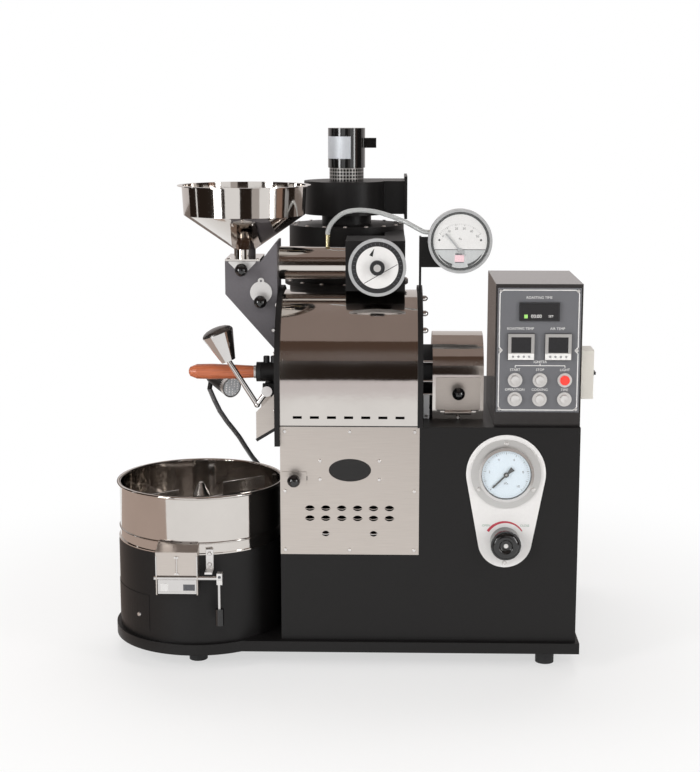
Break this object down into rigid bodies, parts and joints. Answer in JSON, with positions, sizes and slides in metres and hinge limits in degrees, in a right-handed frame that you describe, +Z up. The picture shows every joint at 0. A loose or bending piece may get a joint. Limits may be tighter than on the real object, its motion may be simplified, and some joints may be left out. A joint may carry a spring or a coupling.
{
  "type": "coffee roaster",
  "caption": "Gas-fired drum coffee roaster with bean hopper, stirred cooling tray, cyclone, blower, control box and gauges on one cabinet.",
  "frame": {"origin": "centre of the footprint on the floor", "axes": "+X to the right seen from the front, +Y from the front to the back, +Z up"},
  "size_m": [0.9394, 0.63, 1.025],
  "materials": {
    "black_coat": "satin powder coat",
    "brushed_steel": "brushed",
    "mirror_steel": "polished",
    "grey_coat": "satin",
    "dark_steel": "rolled",
    "cast_grey": "cast",
    "motor_alloy": "painted cast",
    "turned_steel": "turned",
    "brass": "turned",
    "white_plate": "printed",
    "wood": "oiled",
    "rubber": "moulded",
    "black_plastic": "gloss",
    "red_plastic": "gloss",
    "ivory_plastic": "moulded",
    "panel_grey": "printed satin",
    "glass": "clear",
    "hose": "clear"
  },
  "bodies": {
    "frame_body": {"base_plate": "black_coat", "feet": "rubber", "cabinet": "black_coat", "front_panel": "brushed_steel", "burner": "cast_grey", "brass_fittings": "brass", "gauge_plate": "white_plate", "gas_gauge": "turned_steel", "cooling_tower": "black_coat", "cooling_bowl": "mirror_steel", "cooling_screen": "brushed_steel", "gear_motors": "motor_alloy", "gate_chute": "brushed_steel", "end_plates": "black_coat", "drum_cover": "mirror_steel", "shaft_bearings": "cast_grey", "gear_cover": "mirror_steel", "bean_chute": "grey_coat", "hopper": "mirror_steel", "discharge_chute": "brushed_steel", "work_lamp": "black_coat", "lenses": "glass", "exhaust_pipe": "mirror_steel", "damper_body": "black_coat", "cyclone": "black_coat", "blower_housing": "black_coat", "blower_motor": "black_coat", "control_box": "black_coat", "control_panel": "panel_grey", "controllers": "black_plastic", "button_bezels": "turned_steel", "pilot_light": "red_plastic", "breaker": "ivory_plastic", "dp_gauge": "motor_alloy", "pressure_hose": "hose"},
    "drum_body": {"drum": "dark_steel", "drum_shaft": "turned_steel"},
    "agitator_body": {"agitator": "turned_steel"},
    "impeller_body": {"blower_impeller": "turned_steel"},
    "air_shutter_body": {"air_shutter": "turned_steel"},
    "gas_needle_body": {"gas_needle": "black_plastic"},
    "gas_knob_body": {"gas_knob": "black_plastic"},
    "dp_needle_body": {"dp_needle": "black_plastic"},
    "cooling_gate_body": {"gate_lever": "turned_steel"},
    "gear_door_body": {"gear_door": "mirror_steel"},
    "hopper_gate_body": {"hopper_gate": "turned_steel"},
    "sight_cover_body": {"sight_cover": "grey_coat"},
    "discharge_body": {"discharge_door": "grey_coat", "discharge_lever": "mirror_steel"},
    "tryer_bush_body": {"tryer_bush": "turned_steel"},
    "tryer_body": {"tryer_scoop": "turned_steel", "tryer_handle": "wood"},
    "damper_rotor": {"damper_plate": "turned_steel", "damper_dial": "black_plastic"},
    "start_body": {"start_button": "turned_steel"},
    "stop_body": {"stop_button": "turned_steel"},
    "operation_body": {"operation_button": "turned_steel"},
    "cooling_body": {"cooling_button": "turned_steel"},
    "time_body": {"time_button": "turned_steel"},
    "toggle_body": {"breaker_toggle": "black_plastic"}
  },
  "joints": [
    {"name": "drum_spin", "type": "hinge", "parent": "frame_body", "child": "drum_body", "pos_m": [-0.00025, -0.095, 0.56], "axis": [1, 0, 0], "continuous": true},
    {"name": "agitator_spin", "type": "hinge", "parent": "frame_body", "child": "agitator_body", "pos_m": [-0.29775, -0.118, 0.25], "axis": [0, 0, 1], "continuous": true},
    {"name": "blower_spin", "type": "hinge", "parent": "frame_body", "child": "impeller_body", "pos_m": [-0.01625, 0.184, 0.88], "axis": [0, 0, 1], "continuous": true},
    {"name": "air_shutter_slide", "type": "slide", "parent": "frame_body", "child": "air_shutter_body", "axis": [1, 0, 0], "range_m": [0, 0.02]},
    {"name": "gas_needle_turn", "type": "hinge", "parent": "frame_body", "child": "gas_needle_body", "pos_m": [0.29625, -0.262, 0.388], "axis": [0, 1, 0], "range_deg": [0, 270]},
    {"name": "gas_knob_turn", "type": "hinge", "parent": "frame_body", "child": "gas_knob_body", "pos_m": [0.29625, -0.27, 0.2565], "axis": [0, 1, 0], "range_deg": [0, 270]},
    {"name": "dp_needle_turn", "type": "hinge", "parent": "frame_body", "child": "dp_needle_body", "pos_m": [0.20725, -0.192, 0.803], "axis": [0, 1, 0], "range_deg": [0, 80]},
    {"name": "cooling_gate_swing", "type": "hinge", "parent": "frame_body", "child": "cooling_gate_body", "pos_m": [-0.32025, -0.307, 0.196], "axis": [-1, 0, 0], "range_deg": [0, 70]},
    {"name": "gear_door_swing", "type": "hinge", "parent": "frame_body", "child": "gear_door_body", "pos_m": [0.20775, -0.1753, 0.49], "axis": [1, 0, 0], "range_deg": [0, 60]},
    {"name": "hopper_gate_slide", "type": "slide", "parent": "frame_body", "child": "hopper_gate_body", "axis": [0, -1, 0], "range_m": [0, 0.048]},
    {"name": "sight_cover_swing", "type": "hinge", "parent": "frame_body", "child": "sight_cover_body", "pos_m": [-0.17125, -0.154, 0.741], "axis": [0, 1, 0], "range_deg": [0, 60]},
    {"name": "discharge_swing", "type": "hinge", "parent": "frame_body", "child": "discharge_body", "pos_m": [-0.15625, -0.132, 0.539], "axis": [0, 1, 0], "range_deg": [0, 32]},
    {"name": "tryer_turn", "type": "hinge", "parent": "frame_body", "child": "tryer_bush_body", "pos_m": [-0.16025, -0.162, 0.566], "axis": [1, 0, 0], "range_deg": [-180, 180]},
    {"name": "tryer_slide", "type": "slide", "parent": "tryer_bush_body", "child": "tryer_body", "axis": [-1, 0, 0], "range_m": [0, 0.12]},
    {"name": "damper_turn", "type": "hinge", "parent": "frame_body", "child": "damper_rotor", "pos_m": [0.05175, -0.132, 0.77], "axis": [0, 1, 0], "range_deg": [0, 90]},
    {"name": "start_press", "type": "slide", "parent": "frame_body", "child": "start_body", "axis": [0, 1, 0], "range_m": [0, 0.003], "stiffness_N_per_m": 400},
    {"name": "stop_press", "type": "slide", "parent": "frame_body", "child": "stop_body", "axis": [0, 1, 0], "range_m": [0, 0.003], "stiffness_N_per_m": 400},
    {"name": "operation_press", "type": "slide", "parent": "frame_body", "child": "operation_body", "axis": [0, 1, 0], "range_m": [0, 0.003], "stiffness_N_per_m": 400},
    {"name": "cooling_press", "type": "slide", "parent": "frame_body", "child": "cooling_body", "axis": [0, 1, 0], "range_m": [0, 0.003], "stiffness_N_per_m": 400},
    {"name": "time_press", "type": "slide", "parent": "frame_body", "child": "time_body", "axis": [0, 1, 0], "range_m": [0, 0.003], "stiffness_N_per_m": 400},
    {"name": "breaker_swing", "type": "hinge", "parent": "frame_body", "child": "toggle_body", "pos_m": [0.45575, -0.1645, 0.568], "axis": [0, 1, 0], "range_deg": [0, 30]}
  ]
}
